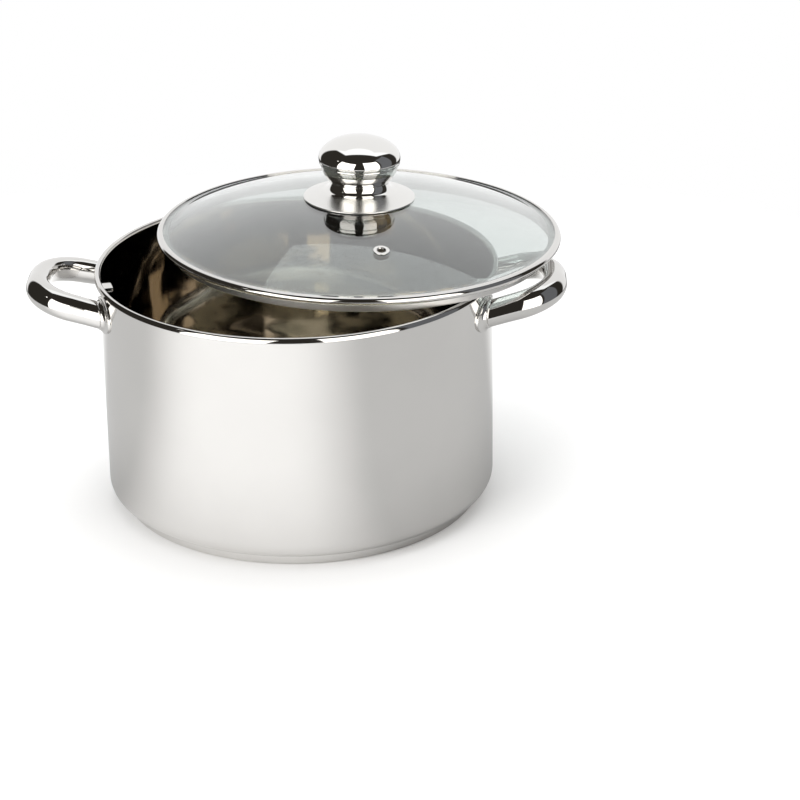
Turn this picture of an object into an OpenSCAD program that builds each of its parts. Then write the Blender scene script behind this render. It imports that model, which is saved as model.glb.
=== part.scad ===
// Tall two-handled pot in polished stainless steel, with its glass lid laid askew on the rim.
// Millimetres, +Z up. The origin is the middle of the underside, on the pot's axis.
// +X points to the handle that carries the edge of the lid, -Y to the front.

/* [Pot body] */
// Inner radius of the straight wall
wall_in = 119.9; // [119.5:0.1:121]
// Thickness of the drawn steel sheet
sheet = 0.8; // [0.6:0.1:1]
// Height of the rim above the table
rim_z = 151; // [145:1:155]
// Outer radius of the corner between floor and wall
corner_r = 8.7; // [7:0.1:11]
// Outer radius of the rolled pouring lip
lip_r = 1.9; // [1.6:0.1:2.2]
// Straight drop of the lip below its roll
lip_drop = 1.2; // [0.6:0.1:2]

/* [Base disc] */
// Height of the layered base under the body
base_h = 6.8; // [5:0.1:8]
// Outer radius of the steel capsule round the base
base_r = 111.8; // [110:0.1:112]
// Thickness of the capsule sheet
cap_t = 0.7; // [0.5:0.1:1]
// Radius of the rounded lower edge of the capsule
base_edge_r = 2; // [1.5:0.1:3]
// Distance from one stamped groove to the next
groove_step = 31; // [25:1:34]
// Width of a groove
groove_w = 1.4; // [1:0.1:2]
// Depth of a groove
groove_d = 0.25; // [0.1:0.05:0.4]

/* [Handles] */
// Height of the handle's middle line where it leaves the wall
handle_z = 132; // [128:0.1:134]
// Rise of the handle's plane towards its outer end, degrees
handle_rise = 13; // [8:0.5:16]
// Distance of the outer bar's middle line from the pot's axis
handle_reach = 158.9; // [155:0.1:165]
// Half the distance between the two legs
handle_half = 33; // [30:0.1:36]
// Bend radius of the tube's middle line
handle_bend = 24.9; // [20:0.1:27]
// Angle by which each leg spreads towards the pot, degrees
leg_spread = 4.5; // [0:0.5:8]
// Height of the oval tube along the grip
grip_h = 16.5; // [14:0.1:18]
// Height of the oval tube at the foot
foot_h = 13.9; // [12:0.1:15]
// Width of the oval divided by its height
oval_ratio = 0.8; // [0.7:0.01:0.9]
// Lean of the oval's long axis towards the finger gap, degrees
oval_lean = 16.7; // [0:0.1:20]
// Wall of the hollow tube
tube_t = 1.3; // [1:0.1:2]
// Thickness of the foot plate on the wall
foot_t = 1.4; // [1:0.1:2]
// Further thickness of the collar round the leg
collar_t = 1.5; // [1:0.1:2]
// Height of the oval foot plate
plate_h = 21; // [18:0.5:23]
// Width of the oval foot plate
plate_w = 16.5; // [15:0.5:18]
// Height of the collar
collar_h = 16.4; // [16:0.1:17]
// Width of the collar
collar_w = 13.2; // [13:0.1:14]

/* [Inner rests] */
// Angle of each rest in front of the handle axis, degrees
rest_angle = 15.5; // [12:0.5:20]
// Reach of the rest from the wall
rest_reach = 6.3; // [5:0.1:8]
// Top of the rest below the rim
rest_drop = 2.4; // [2:0.1:4]
// Width of the bent strip
rest_w = 9; // [7:0.5:12]
// Outer radius of the strip's loop
loop_r = 1.6; // [1.4:0.1:2]

/* [Lid position] */
// Shift of the lid's middle towards the carrying handle
lid_x = 37.65; // [37:0.01:38]
// Shift of the lid's middle to the rear
lid_y = 32.08; // [31:0.01:33]
// Height of the plane of the skirt's lower edge at the lid's middle
lid_z = 150.6; // [150.5:0.001:152]
// Dip of the lid's rear, degrees
lid_dip_rear = 1.107; // [0:0.001:2]
// Dip of the lid's carrying side, degrees
lid_dip_side = 1.28; // [0:0.001:2]

/* [Lid ring] */
// Outer radius of the rolled steel ring
ring_r = 125.5; // [125:0.1:126]
// Outer radius of the ring's rolled edge
roll_r = 2.5; // [2.4:0.1:2.6]
// Thickness of the ring's sheet
ring_t = 0.5; // [0.4:0.1:0.6]
// Outer radius of the skirt that drops inside the pot
skirt_r = 118.5; // [118:0.1:119]
// Height of the skirt below the ring's flange
skirt_h = 5.7; // [5:0.1:7]

/* [Glass] */
// Height of the glass at its middle above the skirt's lower edge
apex_z = 33; // [30:0.5:36]
// Radius of the hollow bend between the dome and its flat edge
blend_r = 10; // [8:1:14]
// Distance of the steam hole from the middle
vent_rho = 78; // [70:1:85]
// Direction of the steam hole from the middle, degrees
vent_az = -78.5; // [-90:0.5:-60]
// Radius of the hole drilled in the glass for the eyelet
vent_r = 3.7; // [3.5:0.1:4]
// Radius of the eyelet's own hole
steam_r = 2.3; // [2:0.1:2.5]

/* [Knob] */
// Largest radius of the knob
knob_r = 25.2; // [24:0.1:26]
// Height of the knob's widest line above the skirt's lower edge
knob_mid_z = 56.8; // [56:0.1:58]
// Rise of the cap above the widest line
cap_rise = 13.5; // [12:0.1:15]
// Height of the seam between cap and bowl
seam_z = 53.2; // [52.5:0.1:53.8]
// Radius of the waist under the bowl
waist_r = 19; // [18:0.1:19.3]
// Height of the waist
waist_z = 42.1; // [41:0.1:43]
// Radius of the flange that spreads over the glass
flange_r = 35; // [33:0.1:36]
// Height of the flange's lower edge
flange_z = 32.3; // [32.1:0.1:32.6]
// Thickness of the pressed knob shells
shell_t = 0.8; // [0.6:0.1:0.9]
// Radius of the threaded insert inside the skirt
insert_r = 6.5; // [6:0.1:7]

/* [Hidden] */
$fa = 3;
$fs = 0.25;
steel = [0.80, 0.80, 0.80];
dark_steel = [0.62, 0.62, 0.63];
aluminium = [0.72, 0.74, 0.76];
glass = [0.80, 0.88, 0.86, 0.45];
rubber = [0.16, 0.16, 0.17];

wall_out = wall_in + sheet;
corner_x = wall_out - corner_r;
corner_z = base_h + corner_r;
lip_z = rim_z - lip_r;
foot_out = wall_out + foot_t;
collar_out = foot_out + collar_t;
bend_x = handle_reach - handle_bend;
bend_y = handle_half - handle_bend;
leg_len = (bend_x + handle_bend * sin(leg_spread) - 114) / cos(leg_spread);
leg_y = bend_y + handle_bend * cos(leg_spread) + (bend_x - wall_out) * tan(leg_spread);
leg_z = handle_z + (wall_out - 120) * tan(handle_rise);
roll_x = ring_r - roll_r;
roll_z = skirt_h + roll_r;
glass_t = 2 * (roll_r - ring_t);
glass_low = skirt_h + ring_t;
glass_high = glass_low + glass_t;
edge_x = roll_x - 0.2;
bend_start = edge_x - 2.3;
rise = apex_z - glass_high;
dome_and_blend = (bend_start * bend_start + rise * rise) / (2 * rise);
dome_r = dome_and_blend - blend_r;
dome_z = apex_z - dome_r;
dome_angle = asin(bend_start / dome_and_blend);
vent_tilt = asin(vent_rho / dome_r);
dome_facets = 720;
bore_r = 5;
screw_r = 2.4;
screw_hole_r = screw_r + 0.3;
pad_h = 1;
seal_h = 1.2;
washer_t = 0.8;
head_z = apex_z - glass_t - seal_h - washer_t;

// Height of the outside and inside of the dome at a distance from the middle.
function glass_top(r) = dome_z + sqrt(dome_r * dome_r - r * r) + 0.015;
function glass_under(r) = dome_z + sqrt((dome_r - glass_t) * (dome_r - glass_t) - r * r) - 0.02;

// One stretch of bent sheet seen end on, between two angles about its centre.
module bend(outer, inner, a0, a1) {
    reach = 2 * outer;
    mid = (a0 + a1) / 2;
    intersection() {
        difference() {
            circle(r = outer);
            circle(r = inner);
        }
        polygon([
            [0, 0],
            [reach * cos(a0), reach * sin(a0)],
            [reach * cos(mid), reach * sin(mid)],
            [reach * cos(a1), reach * sin(a1)]
        ]);
    }
}

// Half outline of a flat disc with a rounded lower edge.
module disc_outline(r, low, high, edge) {
    translate([0, low]) square([r - edge, high - low]);
    translate([0, low + edge]) square([r, high - low - edge]);
    translate([r - edge, low + edge]) circle(r = edge);
}

// An ellipse by its two half axes.
module oval(a, b) {
    scale([a / b, 1]) circle(r = b);
}

// The right half of a flat figure about the axis of turning.
module right_half(low, high, reach) {
    intersection() {
        children();
        translate([0, low]) square([reach, high - low]);
    }
}

module pot_body() {
    color(steel) rotate_extrude() {
        translate([0, base_h]) square([corner_x, sheet]);
        translate([corner_x, corner_z]) bend(corner_r, corner_r - sheet, -90, 0);
        translate([wall_in, corner_z]) square([sheet, lip_z - corner_z]);
        translate([wall_in + lip_r, lip_z]) bend(lip_r, lip_r - sheet, 0, 180);
        translate([wall_in + 2 * lip_r - sheet, lip_z - lip_drop]) square([sheet, lip_drop]);
        translate([wall_in + 2 * lip_r - sheet / 2, lip_z - lip_drop]) circle(d = sheet);
    }
}

module base_core() {
    color(aluminium) rotate_extrude()
        disc_outline(base_r - cap_t, cap_t, base_h, base_edge_r - cap_t);
}

// Steel capsule pressed round the core, with three round grooves stamped in its underside.
module base_cap() {
    color(steel) rotate_extrude() difference() {
        disc_outline(base_r, 0, base_h, base_edge_r);
        disc_outline(base_r - cap_t, cap_t, base_h + 1, base_edge_r - cap_t);
        for (r = [groove_step : groove_step : 3 * groove_step])
            translate([r, -1]) square([groove_w, 1 + groove_d]);
    }
}

// Section of the tube, set back all round by the given amount, leaning to the finger gap.
module tube_section(inset) {
    rotate(oval_lean) oval(oval_ratio * grip_h / 2 - inset, grip_h / 2 - inset);
}

module tube_wall() {
    difference() {
        tube_section(0);
        tube_section(tube_t);
    }
}

// Straight leg as an oval cone that thins towards the pot, set back by the given amount.
module leg_cone(inset) {
    grip_a = oval_ratio * grip_h / 2 - inset;
    grip_b = grip_h / 2 - inset;
    rotate([90, 0, 0]) rotate([0, 0, oval_lean]) scale([grip_a / grip_b, 1, 1])
        cylinder(h = leg_len, r1 = grip_b, r2 = foot_h / 2 - inset);
}

// Front half of the hollow handle in its own plane: leg, bend and half of the outer bar.
module half_grip() {
    translate([bend_x, -bend_y, 0]) rotate([0, 0, leg_spread - 90]) {
        rotate_extrude(angle = 90 - leg_spread) translate([handle_bend, 0]) tube_wall();
        translate([handle_bend, 0, 0]) difference() {
            leg_cone(0);
            leg_cone(tube_t);
        }
    }
    translate([handle_reach, 0, 0]) rotate([90, 0, 0])
        linear_extrude(height = bend_y) tube_wall();
}

// Both legs end on the collars, on a round face about the pot's axis.
module handle() {
    color(steel) difference() {
        translate([120, 0, handle_z]) rotate([0, -handle_rise, 0]) translate([-120, 0, 0]) {
            half_grip();
            mirror([0, 1, 0]) half_grip();
        }
        cylinder(r = collar_out, h = 200);
    }
}

module right_handle() {
    handle();
}

module left_handle() {
    rotate([0, 0, 180]) handle();
}

// Oval plug along the leg, used to cut plate and collar out of shells round the pot.
module foot_plug(w, h, side) {
    translate([100, side * leg_y, leg_z]) rotate([90, 0, 90])
        linear_extrude(height = 50) rotate(side * oval_lean) oval(w / 2, h / 2);
}

module shell(r0, r1) {
    difference() {
        cylinder(r = r1, h = 200);
        translate([0, 0, -1]) cylinder(r = r0, h = 202);
    }
}

// Curved plate spot-welded to the wall, with the collar that takes the leg's end.
module foot(side) {
    color(dark_steel) {
        intersection() {
            shell(wall_out, foot_out);
            foot_plug(plate_w, plate_h, side);
        }
        intersection() {
            shell(foot_out, collar_out);
            foot_plug(collar_w, collar_h, side);
        }
    }
}

module right_front_foot() {
    foot(-1);
}

module right_rear_foot() {
    foot(1);
}

module left_front_foot() {
    rotate([0, 0, 180]) foot(1);
}

module left_rear_foot() {
    rotate([0, 0, 180]) foot(-1);
}

// Strip bent to a flat loop, with a back plate against the inside of the wall.
module inner_rest(angle) {
    top = rim_z - rest_drop;
    strip = 0.8;
    plate_drop = 8;
    tip = wall_in - rest_reach + loop_r;
    color(dark_steel) rotate([0, 0, angle]) {
        intersection() {
            shell(wall_in - strip, wall_in);
            translate([100, -rest_w / 2, top - plate_drop]) cube([30, rest_w, plate_drop]);
        }
        translate([0, rest_w / 2, top - loop_r]) rotate([90, 0, 0])
            linear_extrude(height = rest_w) {
                translate([tip, 0]) bend(loop_r, loop_r - strip, 90, 270);
                translate([tip, loop_r - strip]) square([wall_in - tip - strip / 2, strip]);
                translate([tip, -loop_r]) square([wall_in - tip - strip / 2, strip]);
            }
    }
}

module right_inner_rest() {
    inner_rest(-rest_angle);
}

module left_inner_rest() {
    inner_rest(180 + rest_angle);
}

module lid_frame() {
    translate([lid_x, lid_y, lid_z]) rotate([-lid_dip_rear, lid_dip_side, 0]) children();
}

module at_vent() {
    rotate([0, 0, vent_az]) translate([0, 0, dome_z]) rotate([0, vent_tilt, 0])
        translate([0, 0, dome_r]) children();
}

// Domed pane: a shell of a sphere that bends back to a flat edge inside the ring.
module lid_glass() {
    color(glass) lid_frame() difference() {
        rotate_extrude() {
            translate([0, dome_z]) bend(dome_r, dome_r - glass_t, 90 - dome_angle, 90, $fn = dome_facets);
            translate([bend_start, glass_high + blend_r])
                bend(blend_r + glass_t, blend_r, 270 - dome_angle, 270);
            translate([bend_start, glass_low]) square([edge_x - bend_start, glass_t]);
            translate([edge_x, glass_low + glass_t / 2]) circle(d = glass_t);
        }
        translate([0, 0, apex_z - 10]) cylinder(r = bore_r, h = 20);
        at_vent() translate([0, 0, -10]) cylinder(r = vent_r, h = 20);
    }
}

// Ring of folded sheet that grips the edge of the glass, with a hemmed skirt below.
module lid_ring() {
    hem_x = skirt_r - ring_t;
    hem_h = 3;
    lip_w = 1.1;
    color(steel) lid_frame() rotate_extrude() {
        translate([roll_x, roll_z]) bend(roll_r, roll_r - ring_t, -90, 90);
        translate([roll_x - lip_w, glass_high]) square([lip_w, ring_t]);
        translate([hem_x, skirt_h]) square([roll_x - hem_x, ring_t]);
        translate([hem_x, ring_t]) square([ring_t, skirt_h - ring_t]);
        translate([hem_x, ring_t]) circle(r = ring_t);
        translate([hem_x - ring_t, ring_t]) square([ring_t, hem_h - ring_t]);
    }
}

// Steel eyelet pressed into the steam hole.
module vent_eyelet() {
    under = -glass_t - 0.05;
    lip_h = 1;
    back_h = 0.9;
    color(steel) lid_frame() at_vent() rotate_extrude() difference() {
        union() {
            translate([0, under - back_h]) square([vent_r - 0.1, lip_h + back_h - under]);
            square([vent_r + 0.8, lip_h]);
            translate([vent_r + 0.8, lip_h / 2]) circle(d = lip_h);
            translate([0, under - back_h]) square([vent_r + 0.9, back_h]);
        }
        translate([0, under - 2]) square([steam_r, 10]);
        polygon([[0, 0.2], [steam_r - 0.1, 0.2], [steam_r + 1.1, 1.4], [0, 1.4]]);
    }
}

// Upper shell of the knob: flattened cap that turns in to a thin rolled edge at the seam.
module knob_cap() {
    under_b = 15.3;
    edge_r = 0.5;
    color(steel) lid_frame() rotate_extrude() {
        translate([0, knob_mid_z]) right_half(0, 40, 40) difference() {
            oval(knob_r, cap_rise);
            oval(knob_r - shell_t, cap_rise - shell_t);
        }
        translate([0, knob_mid_z]) right_half(seam_z - knob_mid_z, 0, 40) difference() {
            oval(knob_r, under_b);
            oval(knob_r - shell_t, under_b - shell_t);
        }
        translate([knob_r - 0.85, seam_z + edge_r]) circle(r = edge_r);
    }
}

// Lower bowl of the knob, with a spigot inside the cap and a floor on the waist.
module knob_bowl() {
    bowl_z = waist_z + 12.9;
    bowl_a = knob_r - 0.9;
    bowl_b = 21.2;
    spigot_r = knob_r - 2.5;
    color(steel) lid_frame() rotate_extrude() {
        translate([0, bowl_z]) right_half(waist_z - bowl_z, seam_z - bowl_z, 40) difference() {
            oval(bowl_a, bowl_b);
            oval(bowl_a - shell_t, bowl_b - shell_t);
        }
        translate([0, waist_z]) square([waist_r - 0.1, shell_t]);
        translate([spigot_r, seam_z - 1.5]) square([0.75, 3.9]);
    }
}

// Trumpet-shaped skirt between the waist and the glass, open in the middle for the insert.
module knob_skirt() {
    spread = flange_r - waist_r;
    fall = waist_z - flange_z - shell_t;
    floor_r = 11;
    color(steel) lid_frame() rotate_extrude() {
        intersection() {
            translate([flange_r, waist_z]) difference() {
                oval(spread + shell_t, fall + shell_t);
                oval(spread, fall);
            }
            translate([0, flange_z]) square([flange_r, waist_z - flange_z]);
        }
        translate([flange_r, flange_z + shell_t / 2]) circle(d = shell_t);
        translate([floor_r, waist_z - shell_t]) square([waist_r - floor_r - shell_t / 2, shell_t]);
    }
}

module knob_insert() {
    low = apex_z + pad_h;
    color(dark_steel) lid_frame() difference() {
        translate([0, 0, low]) cylinder(r = insert_r, h = waist_z - low);
        translate([0, 0, apex_z]) cylinder(r = screw_r + 0.1, h = waist_z - apex_z - 1);
    }
}

// Ring of dark silicone that keeps the flange off the glass.
module knob_seal() {
    inside = flange_r - 2.6;
    outside = flange_r + 0.1;
    color(rubber) lid_frame() rotate_extrude() polygon([
        [inside, glass_top(inside)],
        [outside, glass_top(outside)],
        [outside, flange_z],
        [inside, flange_z]
    ]);
}

// Silicone pad and sleeve under the insert, through the middle hole of the glass.
module knob_bush() {
    pad_r = 8.5;
    color(rubber) lid_frame() rotate_extrude() {
        polygon([
            [screw_hole_r, glass_top(screw_hole_r)],
            [pad_r, glass_top(pad_r)],
            [pad_r, apex_z + pad_h],
            [screw_hole_r, apex_z + pad_h]
        ]);
        translate([screw_hole_r, apex_z - glass_t])
            square([bore_r - screw_hole_r - 0.1, glass_t + pad_h / 2]);
    }
}

module screw_seal() {
    seal_r = 9.7;
    low = apex_z - glass_t - seal_h;
    color(rubber) lid_frame() rotate_extrude() polygon([
        [screw_hole_r, low],
        [seal_r, low],
        [seal_r, glass_under(seal_r)],
        [screw_hole_r, apex_z - glass_t - 0.02]
    ]);
}

module knob_washer() {
    washer_r = 9;
    color(steel) lid_frame() translate([0, 0, head_z]) difference() {
        cylinder(r = washer_r, h = washer_t);
        translate([0, 0, -1]) cylinder(r = screw_hole_r, h = 3);
    }
}

// Pan-head screw from below, with a cross recess.
module knob_screw() {
    head_r = 4.6;
    slot_l = 5.2;
    slot_w = 1;
    color(dark_steel) lid_frame() translate([0, 0, head_z]) difference() {
        union() {
            cylinder(r = screw_r, h = 12.5);
            translate([0, 0, -1.6]) cylinder(r = head_r, h = 1.6);
            translate([0, 0, -2.4]) cylinder(r1 = head_r - 1.2, r2 = head_r, h = 0.8);
        }
        translate([-slot_l / 2, -slot_w / 2, -3]) cube([slot_l, slot_w, 2]);
        translate([-slot_w / 2, -slot_l / 2, -3]) cube([slot_w, slot_l, 2]);
    }
}

pot_body();
base_core();
base_cap();
right_handle();
left_handle();
right_front_foot();
right_rear_foot();
left_front_foot();
left_rear_foot();
right_inner_rest();
left_inner_rest();
lid_glass();
lid_ring();
vent_eyelet();
knob_cap();
knob_bowl();
knob_skirt();
knob_insert();
knob_seal();
knob_bush();
screw_seal();
knob_washer();
knob_screw();
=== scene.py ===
# %% [markdown]
# # A steel cooking pot with a glass lid
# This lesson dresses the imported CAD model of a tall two-handled pot. The CAD nodes give every
# size and place. Where a node is polished steel or glass, its loose triangles would show as
# facets in the reflections, so a smooth surface worked out from the same formula replaces it.

# %% Load the frame
import math

import bmesh
import bpy
import numpy as np
from mathutils import Euler, Matrix, Vector


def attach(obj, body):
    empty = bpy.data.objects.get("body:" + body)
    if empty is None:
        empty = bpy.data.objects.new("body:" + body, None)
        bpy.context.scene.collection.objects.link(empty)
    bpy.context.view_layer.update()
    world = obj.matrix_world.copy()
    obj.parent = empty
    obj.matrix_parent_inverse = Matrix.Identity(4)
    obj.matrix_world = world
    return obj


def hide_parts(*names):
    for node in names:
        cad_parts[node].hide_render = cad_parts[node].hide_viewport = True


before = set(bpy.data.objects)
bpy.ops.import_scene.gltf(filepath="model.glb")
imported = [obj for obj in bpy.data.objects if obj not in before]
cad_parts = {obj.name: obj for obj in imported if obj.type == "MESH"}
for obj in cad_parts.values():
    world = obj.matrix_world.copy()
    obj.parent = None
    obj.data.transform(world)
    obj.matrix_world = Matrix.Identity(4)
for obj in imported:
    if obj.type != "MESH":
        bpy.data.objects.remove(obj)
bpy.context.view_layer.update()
MM = 0.001

# %% [markdown]
# ## Camera
# The photograph was fitted with a pinhole camera: its focal length, distance, height angle and a
# small roll. The pot stands slightly turned in it, so the camera is swung about the pot's axis.
# The camera's own axes are written out and put in a matrix as columns, which is exact and needs
# no tracking constraint.

# %% Camera
FOCAL_PX = 2871.52
DISTANCE = 1.8
HEIGHT_ANGLE = math.radians(23.62)
ROLL = math.radians(0.74)
SWING = math.radians(1.3)
AIM = Vector((0.06271, 0.0, 0.05802))


def camera_matrix():
    """Columns are the picture's right and up, and the line back to the camera, all turned by the roll."""
    back = Vector((0, -math.cos(HEIGHT_ANGLE), math.sin(HEIGHT_ANGLE)))
    right = Vector((1, 0, 0))
    up = back.cross(right)
    picture_right = right * math.cos(ROLL) - up * math.sin(ROLL)
    picture_up = right * math.sin(ROLL) + up * math.cos(ROLL)
    place = AIM + back * DISTANCE
    turn = Matrix((picture_right, picture_up, back)).transposed()
    return Matrix.Rotation(SWING, 4, "Z") @ Matrix.Translation(place) @ turn.to_4x4()


eye = bpy.data.cameras.new("eye")
eye.sensor_width = 36
eye.lens = FOCAL_PX / 800 * 36
eye.clip_end = 20
eye_object = bpy.data.objects.new("eye", eye)
bpy.context.collection.objects.link(eye_object)
eye_object.matrix_world = camera_matrix()
bpy.context.scene.camera = eye_object
bpy.context.scene.view_settings.view_transform = "Standard"
print("lens", round(eye.lens, 2), "mm")

# %% [markdown]
# ## Shader maths in Python
# A `Wire` is one output of a node. Its operators add Math nodes, so a shader reads like the
# formula it stands for. Every other node comes from `Tree.node`.


# %% Shader maths
class Wire:
    """One socket of a node tree, with Python's operators turned into Math nodes."""

    def __init__(self, tree, socket):
        self.tree, self.socket = tree, socket

    def math(self, operation, *others):
        return self.tree.node("ShaderNodeMath", {"operation": operation}, {0: self, **{i + 1: o for i, o in enumerate(others)}})

    def __add__(self, other):
        return self.math("ADD", other)

    def __sub__(self, other):
        return self.math("SUBTRACT", other)

    def __mul__(self, other):
        return self.math("MULTIPLY", other)

    def __truediv__(self, other):
        return self.math("DIVIDE", other)

    def __pow__(self, other):
        return self.math("POWER", other)

    def __neg__(self):
        return self * -1.0

    __radd__ = __add__
    __rmul__ = __mul__

    def __rsub__(self, other):
        return self.tree.number(other).math("SUBTRACT", self)

    def __rtruediv__(self, other):
        return self.tree.number(other).math("DIVIDE", self)

    def step(self, low, high):
        """0 below low, 1 above high, and an S-shaped rise between them."""
        return self.tree.node("ShaderNodeMapRange", {"interpolation_type": "SMOOTHSTEP"}, {"Value": self, "From Min": low, "From Max": high})

    def between(self, low, high, soft):
        """1 from low to high and 0 outside, with soft edges."""
        return self.step(low - soft, low + soft) * (1 - self.step(high - soft, high + soft))

    def most(self, other):
        return self.math("MAXIMUM", other)

    def least(self, other):
        return self.math("MINIMUM", other)


class Tree:
    """Adds nodes to one material's or world's tree."""

    def __init__(self, owner):
        owner.use_nodes = True
        self.nodes, self.links = owner.node_tree.nodes, owner.node_tree.links
        self.nodes.clear()

    def node(self, kind, settings=None, inputs=None, output=0):
        made = self.nodes.new(kind)
        for key, value in (settings or {}).items():
            if key == "stops":
                ramp = made.color_ramp
                while len(ramp.elements) < len(value):
                    ramp.elements.new(1)
                for element, (at, colour) in zip(ramp.elements, value):
                    element.position, element.color = at, (*colour, 1)
            else:
                setattr(made, key, value)
        for key, value in (inputs or {}).items():
            if isinstance(value, Wire):
                self.links.new(value.socket, made.inputs[key])
            else:
                made.inputs[key].default_value = value
        return Wire(self, made.outputs[output]) if len(made.outputs) else None

    def number(self, value):
        return self.node("ShaderNodeMath", {"operation": "ADD"}, {0: value, 1: 0.0})

    def parts(self, vector):
        return [self.node("ShaderNodeSeparateXYZ", None, {0: vector}, axis) for axis in "XYZ"]

    def join(self, x, y, z):
        return self.node("ShaderNodeCombineXYZ", None, {0: x, 1: y, 2: z})

    def mix(self, factor, first, second):
        return self.node("ShaderNodeMix", {"data_type": "RGBA"}, {0: factor, 6: first, 7: second}, 2)

    def noise(self, vector, scale, detail=2.0, rough=0.5):
        return self.node("ShaderNodeTexNoise", None, {"Vector": vector, "Scale": scale, "Detail": detail, "Roughness": rough})

    def here(self, place=None, turn=None):
        """Object coordinates, moved back into a piece's own frame where one is given."""
        spot = self.node("ShaderNodeTexCoord", None, None, "Object")
        if place is None:
            return spot
        return self.node("ShaderNodeMapping", {"vector_type": "TEXTURE"}, {"Vector": spot, "Location": place, "Rotation": turn})


# %% [markdown]
# ## The studio
# Polished steel shows the room it stands in, so the room matters more than the paint. It is a
# product studio: white paper behind the pot, a broad white panel overhead, and a dark room in
# front with two tall windows. The world shader works this room out from the direction that a
# reflected ray takes. The eye itself, and what it sees through the glass, meets plain white.

# %% World
world = bpy.data.worlds.new("studio")
bpy.context.scene.world = world
sky = Tree(world)
WHITE = (1, 1, 1, 1)
AMBIENT = (0.80, 0.80, 0.80, 1)
DARK_ROOM = (0.030, 0.027, 0.023, 1)
GROUND = (0.11, 0.085, 0.055, 1)
DIM_WALL = (0.15, 0.155, 0.165, 1)
PANEL = (1.25, 1.27, 1.28, 1)
WINDOW = (2.3, 2.25, 2.15, 1)


def studio_room(tree):
    """Colour of the room by direction: az is 0 towards the photographer, el is the height angle."""
    x, y, z = tree.parts(tree.node("ShaderNodeTexCoord", None, None, "Generated"))
    az = x.math("ARCTAN2", -y) * (180 / math.pi)
    el = z.least(1.0).most(-1.0).math("ARCSINE") * (180 / math.pi)
    high = z.most(0.001)
    u, v = x / high, y / high
    paper = (1 - az.step(-140, -134) + az.step(125, 131)) * el.between(-15, 62, 2)
    overhead = v.between(0.05, 3.0, 0.03) * (u + 0.36 * v).step(-0.44, -0.36) * (1 - (u - 0.72 * v).step(0.55, 0.63)) * z.step(0.02, 0.1)
    left = (az - 0.13 * el).between(-61.5, -12.5, 0.8) * (el + 0.12 * (az + 40)).between(-30, 37, 0.8)
    right = (az + 0.05 * el).between(16, 60, 0.8) * (el + 0.08 * (az - 36)).between(-33, 40.5, 0.8)
    spot = (az + 70).math("ABSOLUTE").most((el - 34).math("ABSOLUTE") * 1.2)
    windows = left.most(right).most(1 - spot.step(1.6, 2.6))
    dim = az.between(65, 103, 2) * el.between(-27, 48, 2)
    ground = 1 - el.step(-34, -28)
    colour = tree.mix(ground, DARK_ROOM, GROUND)
    colour = tree.mix(dim, colour, DIM_WALL)
    colour = tree.mix(windows, colour, WINDOW)
    return tree.mix(overhead, colour, PANEL), paper


room_colour, paper_zone = studio_room(sky)
ray = {kind: sky.node("ShaderNodeLightPath", None, None, f"Is {kind} Ray") for kind in ("Camera", "Transmission", "Diffuse", "Glossy")}
white_seen = ray["Camera"].most(ray["Transmission"]).most(ray["Glossy"] * paper_zone)
seen = sky.mix(ray["Diffuse"], room_colour, AMBIENT)
seen = sky.mix(white_seen, seen, WHITE)
background = sky.node("ShaderNodeBackground", None, {"Color": seen, "Strength": 1.0})
sky.node("ShaderNodeOutputWorld", None, {"Surface": background})
print("world nodes:", len(sky.nodes))

# %% [markdown]
# ## Floor and lamps
# The floor is a pale disc that fades out before its edge, where the table ends. Steel walls seen
# from above mirror the floor in front of them, so its tone is what the pot's side shows. That tone
# is painted light, seen only in reflections: painted bright in front and to the left, as the
# windows light it, and greyer at the sides. To the eye it is white and keeps the shadow.

# %% Floor
FLOOR_R = 0.64


def disc_sheet(name, radius, height, rings=24, spokes=96):
    """A flat disc: point (i, k) lies at radius times i over rings, in direction k."""
    reach, turn = np.meshgrid(np.linspace(0.01, 1, rings) * radius, np.linspace(0, 2 * np.pi, spokes, endpoint=False), indexing="ij")
    points = np.stack([reach * np.cos(turn), reach * np.sin(turn), np.full_like(reach, height)], -1).reshape(-1, 3)
    grid = np.arange(rings * spokes).reshape(rings, spokes)
    near, far = grid[:-1], grid[1:]
    quads = np.stack([near, far, np.roll(far, -1, 1), np.roll(near, -1, 1)], -1).reshape(-1, 4)
    mesh = bpy.data.meshes.new(name)
    mesh.from_pydata(points.tolist(), [], quads.tolist() + [grid[0].tolist()])
    mesh.update()
    made = bpy.data.objects.new(name, mesh)
    bpy.context.collection.objects.link(made)
    return made


floor = disc_sheet("floor", FLOOR_R, -0.0002)
floor_paint = bpy.data.materials.new("pale_floor")
floor.data.materials.append(floor_paint)
tree = Tree(floor_paint)
fx, fy, fz = tree.parts(tree.here())
reach = (fx * fx + fy * fy).math("SQRT")
towards = (-0.9135 * fy - 0.4067 * fx) / reach.most(0.001)
behind = (fy / reach.most(0.001)).step(0.55, 0.9)
far = reach.step(0.36, 0.44)
# painted light: the tone that reflections see is painted bright in front and behind close to the pot, greyer at the
# sides and darkest far behind
painted_light_tone = 0.54 + 0.43 * towards.step(0.46, 1.0).most(behind * (1 - far)) - 0.34 * behind * far
plain = tree.node("ShaderNodeLightPath", None, None, "Is Camera Ray").most(tree.node("ShaderNodeLightPath", None, None, "Is Transmission Ray"))
tone = painted_light_tone * (1 - plain) + 1.0 * plain
paint = tree.node("ShaderNodeBsdfDiffuse", None, {"Color": tree.join(tone, tone, tone), "Roughness": 0.0})
clear = tree.node("ShaderNodeBsdfTransparent")
fade = reach.step(0.52, FLOOR_R - 0.02)
tree.node("ShaderNodeOutputMaterial", None, {"Surface": tree.node("ShaderNodeMixShader", None, {0: fade, 1: paint, 2: clear})})


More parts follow.
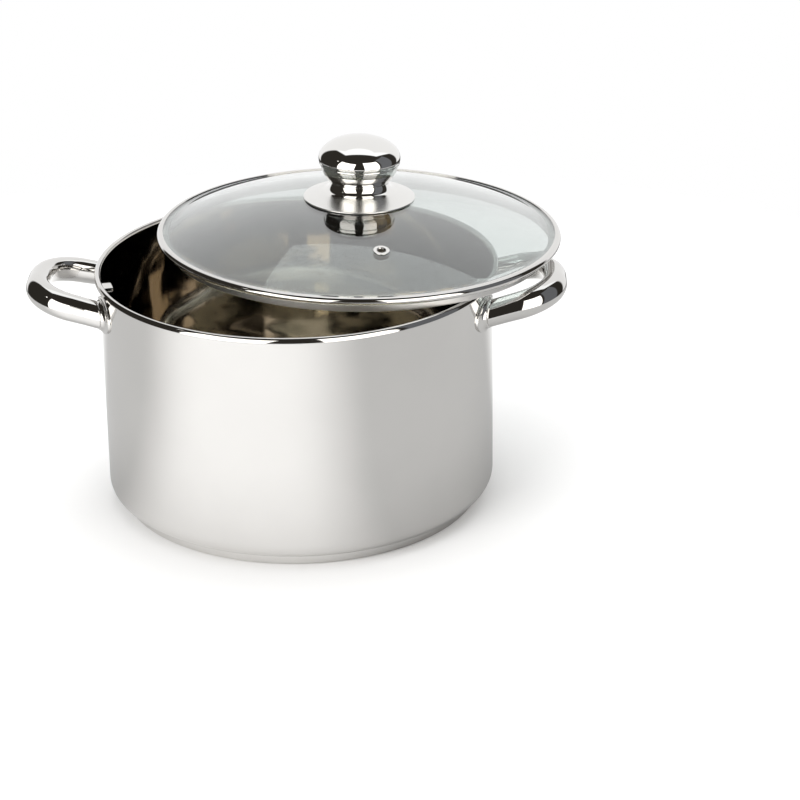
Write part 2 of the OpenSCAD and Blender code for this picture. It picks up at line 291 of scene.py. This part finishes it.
def lamp(name, place, aim, size, power):
    """A square soft lamp that looks at a point. The room's reflection is the world's own work, so steel doesn't show the lamp."""
    light = bpy.data.lights.new(name, "AREA")
    light.shape, light.size, light.energy = "SQUARE", size, power
    made = bpy.data.objects.new(name, light)
    bpy.context.collection.objects.link(made)
    look = Vector(aim) - Vector(place)
    made.matrix_world = Matrix.Translation(place) @ look.to_track_quat("-Z", "Y").to_matrix().to_4x4()
    made.visible_glossy = False
    made.visible_camera = False
    return made


lamp("overhead_lamp", (0.15, 0.45, 1.5), (0, 0, 0), 1.3, 9.0)
lamp("window_lamp", (-0.9, -1.2, 1.0), (0, -0.1, 0), 0.9, 9.0)
print("floor tone set")

# %% [markdown]
# ## Surfaces from formulas
# Nearly every piece here was spun or pressed round, so one helper does most of the work: an
# outline of radius and height is turned round the axis. Outlines are strings of arcs and
# lines. A line gets extra points close to its ends, so that smooth shading bends only there.

# %% Outlines
TURNS = 256


def arc(cx, cz, rx, a0, a1, n, rz=None):
    """Points of an ellipse about (cx, cz): cx + rx cos a, cz + rz sin a, for n + 1 even angles in degrees."""
    a = np.radians(np.linspace(a0, a1, n + 1))
    return np.stack([cx + rx * np.cos(a), cz + (rx if rz is None else rz) * np.sin(a)], 1)


def line(p, q, keep=0.25, n=1):
    """Points from p to q, with one more beside each end at the distance keep."""
    p, q = np.array(p, float), np.array(q, float)
    length = np.linalg.norm(q - p)
    ends = [0.0] + ([keep / length] if length > 4 * keep else [])
    t = np.unique(np.round(np.concatenate([ends, 1 - np.array(ends), np.linspace(0, 1, n + 1)]), 9))
    return p + (q - p) * t[:, None]


def outline(*stretches):
    """One loop from several stretches, without the points that two of them share."""
    points = np.concatenate(stretches)
    gap = np.linalg.norm(points - np.roll(points, 1, 0), axis=1)
    return points[gap > 1e-4]


def put(name, points, faces, sharp=32):
    """Makes the mesh object, closes seams and poles, turns the faces outwards and smooths all but sharp edges."""
    mesh = bpy.data.meshes.new(name)
    mesh.from_pydata((np.asarray(points) * MM).tolist(), [], np.asarray(faces).tolist() if not isinstance(faces, list) else faces)
    bm = bmesh.new()
    bm.from_mesh(mesh)
    bmesh.ops.remove_doubles(bm, verts=bm.verts, dist=2e-6)
    bmesh.ops.dissolve_degenerate(bm, edges=bm.edges, dist=1e-7)
    bmesh.ops.recalc_face_normals(bm, faces=bm.faces)
    bm.to_mesh(mesh)
    bm.free()
    mesh.shade_smooth()
    mesh.set_sharp_from_angle(angle=math.radians(sharp))
    made = bpy.data.objects.new(name, mesh)
    bpy.context.collection.objects.link(made)
    return made


def turned(section, turns=TURNS, close=True):
    """A closed outline turned round Z: point (i, k) is radius i in direction k at height i."""
    r, z = section[:, 0], section[:, 1]
    a = np.linspace(0, 2 * np.pi, turns, endpoint=False)
    points = np.stack([np.outer(r, np.cos(a)), np.outer(r, np.sin(a)), np.repeat(z[:, None], turns, 1)], -1).reshape(-1, 3)
    grid = np.arange(len(r) * turns).reshape(len(r), turns)
    low = grid if close else grid[:-1]
    up = np.roll(grid, -1, 0) if close else grid[1:]
    quads = np.stack([low, np.roll(low, -1, 1), np.roll(up, -1, 1), up], -1).reshape(-1, 4)
    return points, quads


def tilt(points, matrix):
    """Points in a piece's own frame carried into the pot's frame."""
    m = np.array(matrix)
    return points @ m[:3, :3].T + m[:3, 3]


def dress(piece, node, paint):
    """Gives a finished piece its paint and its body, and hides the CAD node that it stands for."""
    piece.data.materials.clear()
    piece.data.materials.append(paint)
    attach(piece, "root")
    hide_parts(node)
    print(f"{piece.name}: {len(piece.data.polygons)} faces")


# %% [markdown]
# ## Mirror-polished steel
# Stainless steel is slightly warm: it gives back about 0.72 of red and 0.66 of blue, which
# turns browner with each bounce inside the pot. Polishing leaves hairlines that run round the
# piece, which vary the roughness, and the drawn sheet is never quite true, which bends what
# it mirrors. Both are noise on cylinder coordinates: the direction round the axis and the height.
# The inner side of the pot is also painted darker and browner, as painted shade, and a band at the
# base cap's top edge is painted dark, as a painted shadow line at the seam.

# %% Steel
LID_PLACE = (0.03765, 0.03208, 0.1506)
LID_TURN = (math.radians(-1.107), math.radians(1.28), 0.0)
STEEL = (0.735, 0.723, 0.705, 1)
BRIGHT = (0.84, 0.83, 0.81, 1)
# painted shade: the darker, browner colour of the pot's inner side
PAINTED_INSIDE_SHADE = (0.68, 0.62, 0.53, 1)
# painted shadow: the dark band on the base cap's top edge, where it meets the body's corner
PAINTED_SEAM_SHADOW = (0.20, 0.195, 0.19, 1)


def steel(name, colour=STEEL, haze=0.045, wave=0.0, wave_size=14.0, hair=1.0, place=None, turn=None, dull=None, tinted=None, tint=None):
    """Polished steel. haze is the roughness, wave the height in metres of slow dents and hair the
    strength of polishing lines. dull(radius, z) adds roughness, and where tinted(radius, z) is 1
    the steel takes the colour tint, a painted shade, and is more wavy."""
    paint = bpy.data.materials.new(name)
    tree = Tree(paint)
    spot = tree.here(place, turn)
    x, y, z = tree.parts(spot)
    radius = (x * x + y * y).math("SQRT").most(0.0005)
    ring = tree.join(x / radius * 1.5, y / radius * 1.5, (z + radius) * 900.0)
    lines = tree.noise(ring, 1.0, 3.0, 0.6)
    patch = tree.noise(spot, 22.0, 3.0, 0.55)
    scratch = tree.noise(tree.join(x * 900.0, y * 900.0, z * 60.0), 1.0, 2.0, 0.6).step(0.68, 0.76)
    rough = haze + (lines - 0.5) * 0.03 * hair + (patch - 0.5) * 0.03 + scratch * 0.03 * hair
    if dull:
        rough = rough + dull(radius, z)
    shade = tree.mix(patch.step(0.3, 0.7), tuple(c * 0.975 for c in colour[:3]) + (1,), colour)
    within = tinted(radius, z) if tinted else None
    if tinted:
        shade = tree.mix(within * (0.75 + 0.25 * patch), shade, tint)
    normal = tree.node("ShaderNodeBump", None, {"Height": lines, "Strength": 0.35 * hair, "Distance": 0.0000012})
    if wave:
        slow = tree.noise(tree.join(x * wave_size, y * wave_size, z * wave_size * 0.35), 1.0, 1.5, 0.45)
        height = slow * (1 + within) if tinted else slow
        normal = tree.node("ShaderNodeBump", None, {"Height": height, "Strength": 1.0, "Distance": wave, "Normal": normal})
    surface = tree.node("ShaderNodeBsdfPrincipled", None, {"Base Color": shade, "Metallic": 1.0, "Roughness": rough.most(0.012), "Normal": normal})
    tree.node("ShaderNodeOutputMaterial", None, {"Surface": surface})
    return paint


def inside_pot(radius, z):
    """1 on the inner side of the wall and of the floor, 0 on the outer side of the sheet: where the painted inside
    shade goes.
    """
    by_wall = (1 - radius.step(0.1200, 0.1202)) * z.step(0.0155, 0.0165)
    by_floor = (1 - radius.step(0.1110, 0.1115)) * z.step(0.0070, 0.0074)
    return by_wall.most(by_floor)


# painted shade: the inner side of the wall and floor takes the darker, browner colour
pot_paint = steel("pot_steel", haze=0.05, wave=0.0008, wave_size=16.0, tinted=inside_pot, tint=PAINTED_INSIDE_SHADE)
# painted shadow: the base cap's top band takes the dark seam colour
base_paint = steel("base_steel", haze=0.12, hair=2.5, tinted=lambda radius, z: z.step(0.0054, 0.0058), tint=PAINTED_SEAM_SHADOW)
handle_paint = steel("handle_steel", haze=0.035)
ring_paint = steel("ring_steel", haze=0.05, place=LID_PLACE, turn=LID_TURN, dull=lambda radius, z: 0.28 * (1 - z.step(0.0055, 0.0060)))
knob_paint = steel("knob_steel", colour=BRIGHT, haze=0.03, place=LID_PLACE, turn=LID_TURN, dull=lambda radius, z: 0.22 * radius.step(0.0205, 0.024) * (1 - z.step(0.0370, 0.0385)))
foot_paint = steel("foot_steel", haze=0.09)
fitting_paint = steel("fitting_steel", colour=(0.56, 0.56, 0.565, 1), haze=0.22, hair=2.0)
core_paint = steel("core_aluminium", colour=(0.78, 0.79, 0.8, 1), haze=0.35, hair=3.0)

# %% [markdown]
# ## The drawn body
# The body is one sheet 0.8 mm thick: a flat floor, a round corner, a straight wall, and a lip
# that rolls outwards in an oval. Its outline is followed once round the sheet.

# %% Body
WALL_IN, SHEET, RIM_Z, CORNER_R, LIP_R, LIP_H = 119.9, 0.8, 151.0, 8.7, 1.9, 3.1
BASE_H, BASE_R, CAP_T, BASE_EDGE = 6.8, 111.8, 0.7, 2.0
wall_out = WALL_IN + SHEET
corner_x, corner_z = wall_out - CORNER_R, BASE_H + CORNER_R
lip_x, lip_z = WALL_IN + LIP_R, RIM_Z - LIP_H


def body_outline():
    """Out along the underside, up the outside, over and under the lip, then back down the inside to the middle of the floor."""
    return outline(
        line((0, BASE_H), (corner_x, BASE_H), n=6),
        arc(corner_x, corner_z, CORNER_R, -90, 0, 20),
        line((wall_out, corner_z), (wall_out, lip_z), n=8),
        arc(lip_x, lip_z, LIP_R - SHEET, 180, 0, 20, LIP_H - SHEET),
        arc(lip_x + LIP_R - SHEET / 2, lip_z, SHEET / 2, -180, 0, 8),
        arc(lip_x, lip_z, LIP_R, 0, 180, 32, LIP_H),
        line((WALL_IN, lip_z), (WALL_IN, corner_z), n=8),
        arc(corner_x, corner_z, CORNER_R - SHEET, 0, -90, 20),
        line((corner_x, BASE_H + SHEET), (0, BASE_H + SHEET), n=6),
    )


body = put("pot_shell", *turned(body_outline(), 384))
dress(body, "pot_body", pot_paint)

# %% [markdown]
# ## Base capsule
# Under the floor a disc of aluminium is brazed on and wrapped in a pressed steel cap with three
# shallow grooves. The core inside stays the CAD node, since it is sealed in.


# %% Base
def groove(r, width=1.4, depth=0.25):
    return [(r, 0), (r + 0.12, depth), (r + width - 0.12, depth), (r + width, 0)]


def base_outline():
    """Along the grooved underside, round the lower edge, up to the top edge and back inside."""
    under = np.array([(0, 0)] + groove(31) + groove(62) + groove(93) + [(BASE_R - BASE_EDGE - 0.3, 0)], float)
    inner = BASE_EDGE - CAP_T
    return outline(
        under,
        arc(BASE_R - BASE_EDGE, BASE_EDGE, BASE_EDGE, -90, 0, 12),
        line((BASE_R, BASE_EDGE), (BASE_R, BASE_H - 0.3)),
        arc(BASE_R - 0.3, BASE_H - 0.3, 0.3, 0, 90, 4),
        line((BASE_R - 0.3, BASE_H), (BASE_R - CAP_T, BASE_H), keep=0.05),
        line((BASE_R - CAP_T, BASE_H), (BASE_R - CAP_T, BASE_EDGE)),
        arc(BASE_R - BASE_EDGE, BASE_EDGE, inner, 0, -90, 8),
        line((BASE_R - BASE_EDGE, CAP_T), (0, CAP_T), n=3),
    )


base = put("base_capsule", *turned(base_outline(), 384))
dress(base, "base_cap", base_paint)

# %% [markdown]
# ## Handles
# Each handle is a tube bent to a loop. Its oval section leans to the finger gap, and it thins
# towards the pot. The middle line is a plane curve of a leg, a bend, the outer bar, a bend and
# a leg, carried as points with an outward direction; the section is laid across it at each.

# %% Handle
HANDLE_Z, HANDLE_RISE, REACH, HALF, BEND_R = 130.7, math.radians(13.3), 160.0, 31.6, 26.9
SPREAD, GRIP_H, FOOT_H, RATIO, LEAN = math.radians(7.4), 16.7, 15.6, 0.8, math.radians(18.6)
FOOT_T, BOSS_T = 1.4, 2.2
boss_out = wall_out + FOOT_T + BOSS_T
foot_x = math.sqrt(wall_out**2 - HALF**2)
bend_x, bend_y = REACH - BEND_R, HALF - BEND_R
leg_len = (bend_x + BEND_R * math.sin(SPREAD) - 114) / math.cos(SPREAD)
leg_shown = (bend_x + BEND_R * math.sin(SPREAD) - foot_x - 9) / math.cos(SPREAD)
leg_y = bend_y + BEND_R * math.cos(SPREAD) + (bend_x - foot_x) * math.tan(SPREAD)
leg_z = HANDLE_Z + (foot_x - 120) * math.tan(HANDLE_RISE)


def handle_path():
    """Middle line from the front foot to the outer bar's middle: points, outward directions and half heights."""
    a = np.linspace(SPREAD - math.pi / 2, 0, 34)
    out_bend = np.stack([np.cos(a), np.sin(a)], 1)
    bend = np.array([bend_x, -bend_y]) + BEND_R * out_bend
    s = np.linspace(1, 0, 14, endpoint=False) * leg_shown
    along = np.array([-math.cos(SPREAD), -math.sin(SPREAD)])
    leg = bend[0] + s[:, None] * along
    bar = np.stack([np.full(5, REACH), np.linspace(-bend_y, 0, 6)[1:]], 1)
    points = np.concatenate([leg, bend, bar])
    outward = np.concatenate([np.repeat(out_bend[:1], len(leg), 0), out_bend, np.repeat(out_bend[-1:], 5, 0)])
    half = np.concatenate([GRIP_H / 2 + (FOOT_H - GRIP_H) / 2 * s / leg_len, np.full(len(bend) + 5, GRIP_H / 2)])
    return points, outward, half


def handle_points(around=72):
    """Each section point is the middle line plus outward times the leaning oval's width plus up times its height."""
    points, outward, half = handle_path()
    flip = np.array([1, -1])
    points = np.concatenate([points, points[-2::-1] * flip])
    outward = np.concatenate([outward, outward[-2::-1] * flip])
    half = np.concatenate([half, half[-2::-1]])
    t = np.linspace(0, 2 * np.pi, around, endpoint=False)
    a, b = np.outer(half * RATIO, np.cos(t)), np.outer(half, np.sin(t))
    wide, high = a * math.cos(LEAN) - b * math.sin(LEAN), a * math.sin(LEAN) + b * math.cos(LEAN)
    flat = points[:, None] + wide[..., None] * outward[:, None]
    grid = np.concatenate([flat, high[..., None]], -1)
    turn = np.array([[math.cos(HANDLE_RISE), 0, -math.sin(HANDLE_RISE)], [0, 1, 0], [math.sin(HANDLE_RISE), 0, math.cos(HANDLE_RISE)]])
    grid = (grid - [120, 0, 0]) @ turn.T + [120, 0, HANDLE_Z]
    for end, side in ((0, -1), (-1, 1)):
        along = turn @ [-math.cos(SPREAD), side * math.sin(SPREAD), 0]
        grid[end] = land(grid[end], along)
    return grid


def land(ring, along):
    """Slides an end ring along its leg until it meets the round face of the boss: the nearer root of |p + t along| = r."""
    flat, way = ring[:, :2], along[:2]
    a, b, c = way @ way, flat @ way, (flat**2).sum(1) - (boss_out - 0.3) ** 2
    return ring + ((-b - np.sqrt(b * b - a * c)) / a)[:, None] * along


def tube_faces(rows, around):
    """Quads along the tube and one face over each end."""
    grid = np.arange(rows * around).reshape(rows, around)
    low, up = grid[:-1], grid[1:]
    quads = np.stack([low, np.roll(low, -1, 1), np.roll(up, -1, 1), up], -1).reshape(-1, 4)
    return quads.tolist() + [grid[0].tolist(), grid[-1][::-1].tolist()]


for node, sign in (("right_handle", 1), ("left_handle", -1)):
    grid = handle_points() * [sign, sign, 1]
    piece = put(node + "_tube", grid.reshape(-1, 3), tube_faces(*grid.shape[:2]), sharp=50)
    dress(piece, node, handle_paint)

# %% [markdown]
# ## Feet
# A leg ends on a low boss on a wide oval plate, spot-welded to the wall. Each foot is a polar
# grid over the oval: its offset from the wall is the boss's height in the middle, then falls
# over the flank to the plate's thickness, with edges rounded off as pressing leaves them.

# %% Feet
PLATE_W, PLATE_H, BOSS_W, BOSS_H, BOSS_FLARE = 36.0, 20.5, 21.6, 16.6, 1.6


def foot_points(side, around=96):
    """Rings of (half width, half height, offset) laid on the round wall, then swung to the leg's place."""
    a = np.radians(np.linspace(0, 90, 7))
    round_off = np.stack([0.5 * (1 - np.sin(a)), 0.5 * (1 - np.cos(a))], 1)
    boss, foot, plate = np.array([BOSS_W, BOSS_H]) / 2, np.array([BOSS_W, BOSS_H]) / 2 + BOSS_FLARE, np.array([PLATE_W, PLATE_H]) / 2
    top = FOOT_T + BOSS_T
    rings = [(0, 0, top), (*boss * 0.6, top)]
    rings += [(*boss - inset, top - drop) for inset, drop in round_off]
    rings += [(*foot, FOOT_T + 0.1), (*foot + 0.3, FOOT_T)]
    rings += [(*plate - inset, FOOT_T - drop) for inset, drop in round_off]
    rings += [(*plate, 0.0), (*plate * 0.5, 0.0), (0, 0, 0)]
    wide, tall, offset = np.array(rings).T
    t = np.linspace(0, 2 * np.pi, around, endpoint=False)
    y, z = np.outer(wide, np.cos(t)), leg_z + np.outer(tall, np.sin(t))
    x = np.sqrt((wall_out + offset)[:, None] ** 2 - y**2)
    swing = side * math.asin(leg_y / boss_out)
    return np.stack([x * math.cos(swing) - y * math.sin(swing), x * math.sin(swing) + y * math.cos(swing), z], -1)


for node, side, sign in (("right_front_foot", -1, 1), ("right_rear_foot", 1, 1), ("left_front_foot", 1, -1), ("left_rear_foot", -1, -1)):
    grid = foot_points(side) * [sign, sign, 1]
    rows, around = grid.shape[:2]
    piece = put(node + "_plate", grid.reshape(-1, 3), tube_faces(rows, around)[: (rows - 1) * around], sharp=50)
    dress(piece, node, foot_paint)

# %% [markdown]
# ## The lid's frame
# The lid lies askew, so its pieces are made upright about their own axis and then carried by
# one matrix: the two small dips and the shift that the CAD source also uses.

# %% Lid frame
LID = Matrix.Translation(Vector(LID_PLACE) * 1000) @ Euler(LID_TURN, "XYZ").to_matrix().to_4x4()
RING_R, ROLL_R, RING_T, SKIRT_R, SKIRT_H = 125.5, 2.5, 0.5, 118.5, 5.7
APEX, BLEND, VENT_RHO, VENT_AZ, VENT_R, STEAM_R = 33.0, 10.0, 78.0, math.radians(-78.5), 3.7, 2.3
roll_x, roll_z = RING_R - ROLL_R, SKIRT_H + ROLL_R
glass_t = 2 * (ROLL_R - RING_T)
glass_low, glass_high = SKIRT_H + RING_T, SKIRT_H + RING_T + glass_t
edge_x = roll_x - 0.2
bend_start = edge_x - 2.3
rise = APEX - glass_high
dome_and_blend = (bend_start**2 + rise**2) / (2 * rise)
dome_r = dome_and_blend - BLEND
dome_z = APEX - dome_r
dome_angle = math.degrees(math.asin(bend_start / dome_and_blend))
print("dome radius", round(dome_r, 2), "mm")


def ring_outline():
    """From the lip on the glass round the roll, in along the flange, down the skirt, round the hem and back inside."""
    hem = SKIRT_R - RING_T
    return outline(
        line((roll_x - 1.1, glass_high + RING_T), (roll_x, glass_high + RING_T), keep=0.2),
        arc(roll_x, roll_z, ROLL_R, 90, -90, 28),
        line((roll_x, SKIRT_H), (SKIRT_R + 0.4, SKIRT_H)),
        arc(SKIRT_R + 0.4, SKIRT_H - 0.4, 0.4, 90, 180, 4),
        line((SKIRT_R, SKIRT_H - 0.4), (SKIRT_R, RING_T)),
        arc(hem, RING_T, RING_T, 0, -180, 10),
        line((hem - RING_T, RING_T), (hem - RING_T, 3.0)),
        line((hem - RING_T, 3.0), (hem, 3.0), keep=0.05),
        line((hem, 3.0), (hem, glass_low)),
        line((hem, glass_low), (roll_x, glass_low)),
        arc(roll_x, roll_z, ROLL_R - RING_T, -90, 90, 22),
        line((roll_x, glass_high), (roll_x - 1.1, glass_high), keep=0.2),
    )


points, quads = turned(ring_outline(), 384)
ring = put("lid_ring_fold", tilt(points, LID), quads, sharp=50)
dress(ring, "lid_ring", ring_paint)

# %% [markdown]
# ## Glass dome
# The pane is a shell of a sphere that bends back to a flat edge. Tempered soda glass is faintly
# green, refracts at 1.52 and carries a few wipe marks that blur it in places.


# %% Glass
def glass_outline(bore=5.0):
    """Down the bore, out under the dome, round the edge and back over the top."""
    start = 90 - math.degrees(math.asin(bore / (dome_r - glass_t)))
    top = 90 - math.degrees(math.asin(bore / dome_r))
    return outline(
        arc(0, dome_z, dome_r - glass_t, start, 90 - dome_angle, 56),
        arc(bend_start, glass_high + BLEND, BLEND + glass_t, 270 - dome_angle, 270, 8),
        line((bend_start, glass_low), (edge_x, glass_low), keep=0.2),
        arc(edge_x, glass_low + glass_t / 2, glass_t / 2, -90, 90, 12),
        line((edge_x, glass_high), (bend_start, glass_high), keep=0.2),
        arc(bend_start, glass_high + BLEND, BLEND, 270, 270 - dome_angle, 8),
        arc(0, dome_z, dome_r, 90 - dome_angle, top, 56),
    )


def glass_paint_for(name):
    paint = bpy.data.materials.new(name)
    tree = Tree(paint)
    spot = tree.here(LID_PLACE, LID_TURN)
    wipe = tree.noise(spot, 34.0, 4.0, 0.6).step(0.52, 0.74)
    slow = tree.noise(spot, 9.0, 1.0, 0.4)
    normal = tree.node("ShaderNodeBump", None, {"Height": slow, "Strength": 1.0, "Distance": 0.00012})
    rough = 0.004 + wipe * 0.012
    surface = tree.node(
        "ShaderNodeBsdfPrincipled",
        None,
        {"Base Color": (0.53, 0.58, 0.565, 1), "Roughness": rough, "IOR": 1.7, "Transmission Weight": 1.0, "Coat Weight": 1.0, "Coat IOR": 1.6, "Coat Roughness": 0.01, "Normal": normal},
    )
    tree.node("ShaderNodeOutputMaterial", None, {"Surface": surface})
    return paint


vent_tilt = math.asin(VENT_RHO / dome_r)
VENT = LID @ Matrix.Rotation(VENT_AZ, 4, "Z") @ Matrix.Translation((0, 0, dome_z)) @ Matrix.Rotation(vent_tilt, 4, "Y") @ Matrix.Translation((0, 0, dome_r))
glass_paint = glass_paint_for("lid_glass")
points, quads = turned(glass_outline(), 256)
glass = put("glass_dome", tilt(points, LID), quads, sharp=50)


def drill(piece, section, matrix):
    """Cuts a turned plug out of a piece and applies the cut."""
    plug = put("plug", tilt(turned(section, 64)[0], matrix), turned(section, 64)[1])
    cut = piece.modifiers.new("drill", "BOOLEAN")
    cut.operation, cut.solver, cut.object = "DIFFERENCE", "EXACT", plug
    with bpy.context.temp_override(object=piece, active_object=piece, selected_objects=[piece]):
        bpy.ops.object.modifier_apply(modifier=cut.name)
    bpy.data.objects.remove(plug)


drill(glass, np.array([(0, -9), (VENT_R, -9), (VENT_R, 5), (0, 5)], float), VENT)
dress(glass, "lid_glass", glass_paint)


# %% [markdown]
# ## Steam eyelet
# A short tube is flared over the glass on both sides. Its upper flange is rounded and its
# mouth is dished, which catches a small bright ring.


# %% Eyelet
def eyelet_outline():
    """Round the upper flange, down the outside of the tube, round the lower flange and up the bore."""
    under = -glass_t - 0.05
    return outline(
        line((STEAM_R, -0.6), (STEAM_R, -0.1), keep=0.1),
        line((STEAM_R, -0.1), (STEAM_R + 0.6, 0.5), keep=0.1),
        line((STEAM_R + 0.6, 0.5), (VENT_R + 1.0, 0.5), keep=0.1),
        arc(VENT_R + 1.0, 0.25, 0.25, 90, -90, 8),
        line((VENT_R + 1.0, 0.0), (VENT_R - 0.1, 0.0), keep=0.1),
        line((VENT_R - 0.1, 0.0), (VENT_R - 0.1, under)),
        line((VENT_R - 0.1, under), (VENT_R + 0.9, under), keep=0.1),
        line((VENT_R + 0.9, under), (VENT_R + 0.9, under - 0.9), keep=0.1),
        line((VENT_R + 0.9, under - 0.9), (STEAM_R, under - 0.9), keep=0.1),
        line((STEAM_R, under - 0.9), (STEAM_R, -0.6)),
    )


points, quads = turned(eyelet_outline(), 64)
eyelet = put("steam_eyelet", tilt(points, VENT), quads, sharp=50)
dress(eyelet, "vent_eyelet", knob_paint)

# %% [markdown]
# ## Knob
# Three pressings make the knob: a flattened cap, a bowl plugged into it and a trumpet skirt
# that spreads over the glass. Each is a stretch of an ellipse with a sheet's thickness, and the
# seams between them are real steps, which show as thin dark and bright lines.

# %% Knob
KNOB_R, KNOB_MID, CAP_RISE, SEAM_Z, WAIST_R, WAIST_Z = 25.2, 56.8, 13.5, 53.2, 17.9, 42.1
FLANGE_R, NECK_R, SLOPE, EDGE_R, SHELL_T = 34.5, 5.6, math.radians(19.5), 0.5, 0.8
out_of_slope = np.array([math.sin(SLOPE), math.cos(SLOPE)])
neck = np.array([WAIST_R + NECK_R, WAIST_Z])
slope_top = neck - NECK_R * out_of_slope
slope_run = FLANGE_R - EDGE_R + EDGE_R * out_of_slope[0] - slope_top[0]
slope_end = slope_top + slope_run * np.array([1, -math.tan(SLOPE)])
edge_middle = slope_end - EDGE_R * out_of_slope
flange_low = edge_middle[1] - EDGE_R
print("flange's lowest line", round(flange_low, 2), "mm")


def cap_outline():
    """Over the top, past the widest line, round the rolled edge at the seam and back inside."""
    low_b, edge_r = 15.3, 0.5
    lowest = math.degrees(math.asin((SEAM_Z + 0.75 - KNOB_MID) / low_b))
    return outline(
        arc(0, KNOB_MID, KNOB_R, 90, 0, 40, CAP_RISE),
        arc(0, KNOB_MID, KNOB_R, 0, lowest, 8, low_b),
        arc(KNOB_R - 0.85, SEAM_Z + edge_r, edge_r, 10, -170, 12),
        arc(0, KNOB_MID, KNOB_R - SHELL_T, lowest, 0, 6, low_b - SHELL_T),
        arc(0, KNOB_MID, KNOB_R - SHELL_T, 0, 90, 24, CAP_RISE - SHELL_T),
    )


def bowl_outline():
    """Out along the floor, up the bowl to the seam, up and over the spigot, and back down inside."""
    mid, a, b = WAIST_Z + 12.9, KNOB_R - 0.9, 19.2
    low, high = math.degrees(math.asin(-12.9 / b)), math.degrees(math.asin((SEAM_Z - mid) / b))
    inner_low = math.degrees(math.asin((WAIST_Z + SHELL_T - mid) / (b - SHELL_T)))
    spigot = KNOB_R - 2.5
    return outline(
        line((0, WAIST_Z), (17.7, WAIST_Z)),
        arc(0, mid, a, low, high, 24, b),
        line((spigot + 0.75, SEAM_Z), (spigot + 0.75, SEAM_Z + 2.4)),
        line((spigot + 0.75, SEAM_Z + 2.4), (spigot, SEAM_Z + 2.4), keep=0.1),
        line((spigot, SEAM_Z + 2.4), (spigot, SEAM_Z - 1.5)),
        arc(0, mid, a - SHELL_T, high - 6, inner_low, 16, b - SHELL_T),
        line((17.0, WAIST_Z + SHELL_T), (0, WAIST_Z + SHELL_T)),
    )


def skirt_outline():
    """Down the hollow neck and the straight flank to the flange's round edge, and back up inside to the open floor."""
    tilt_down = math.degrees(SLOPE)
    under = SHELL_T * out_of_slope
    return outline(
        line((11, WAIST_Z), (WAIST_R - 0.3, WAIST_Z)),
        arc(*neck, NECK_R, 180, 270 - tilt_down, 24),
        line(slope_top, slope_end),
        arc(*edge_middle, EDGE_R, 90 - tilt_down, -90 - tilt_down, 14),
        line(slope_end - under, slope_top - under),
        arc(*neck, NECK_R + SHELL_T, 270 - tilt_down, 190, 20),
        line((17.0, WAIST_Z - SHELL_T), (11, WAIST_Z - SHELL_T)),
    )


def seal_outline():
    """A soft ring from the glass up to the flange, bulging a little at its outer face."""
    inside, outside = FLANGE_R - 2.4, FLANGE_R - 0.2
    glass_top = [dome_z + math.sqrt(dome_r**2 - r * r) for r in (inside, outside)]
    mid, half = (glass_top[1] + flange_low) / 2, (flange_low - glass_top[1]) / 2
    return outline(
        line((inside, glass_top[0]), (outside - 0.2, glass_top[1]), keep=0.1),
        arc(outside - 0.2, mid, 0.2, -90, 90, 8, half),
        line((outside - 0.2, flange_low), (inside, flange_low), keep=0.1),
    )


for name, node, section in (("cap_shell", "knob_cap", cap_outline()), ("bowl_shell", "knob_bowl", bowl_outline()), ("trumpet_skirt", "knob_skirt", skirt_outline())):
    points, quads = turned(section, 192)
    piece = put(name, tilt(points, LID), quads, sharp=60)
    dress(piece, node, knob_paint)

# %% [markdown]
# ## Silicone
# Food-grade silicone is matt black with a faint dusty bloom.

# %% Seal
silicone = bpy.data.materials.new("silicone")
tree = Tree(silicone)
dust = tree.noise(tree.here(), 700.0, 2.0)
tint = tree.mix(dust, (0.012, 0.012, 0.013, 1), (0.035, 0.035, 0.037, 1))
bloom = tree.node("ShaderNodeBump", None, {"Height": dust, "Strength": 0.3, "Distance": 0.00002})
rubbery = tree.node("ShaderNodeBsdfPrincipled", None, {"Base Color": tint, "Roughness": 0.5 + dust * 0.15, "Normal": bloom})
tree.node("ShaderNodeOutputMaterial", None, {"Surface": rubbery})
points, quads = turned(seal_outline(), 128)
seal = put("flange_seal", tilt(points, LID), quads, sharp=60)
dress(seal, "knob_seal", silicone)

# %% [markdown]
# ## Pieces that keep their CAD mesh
# The core, the rests inside the wall and the fastening inside the knob are right as they are,
# so they only get their finish.

# %% CAD nodes
for node, paint in (
    ("base_core", core_paint),
    ("right_inner_rest", foot_paint),
    ("left_inner_rest", foot_paint),
    ("knob_insert", fitting_paint),
    ("knob_washer", fitting_paint),
    ("knob_screw", fitting_paint),
    ("knob_bush", silicone),
    ("screw_seal", silicone),
):
    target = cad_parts[node]
    target.data.materials.clear()
    target.data.materials.append(paint)
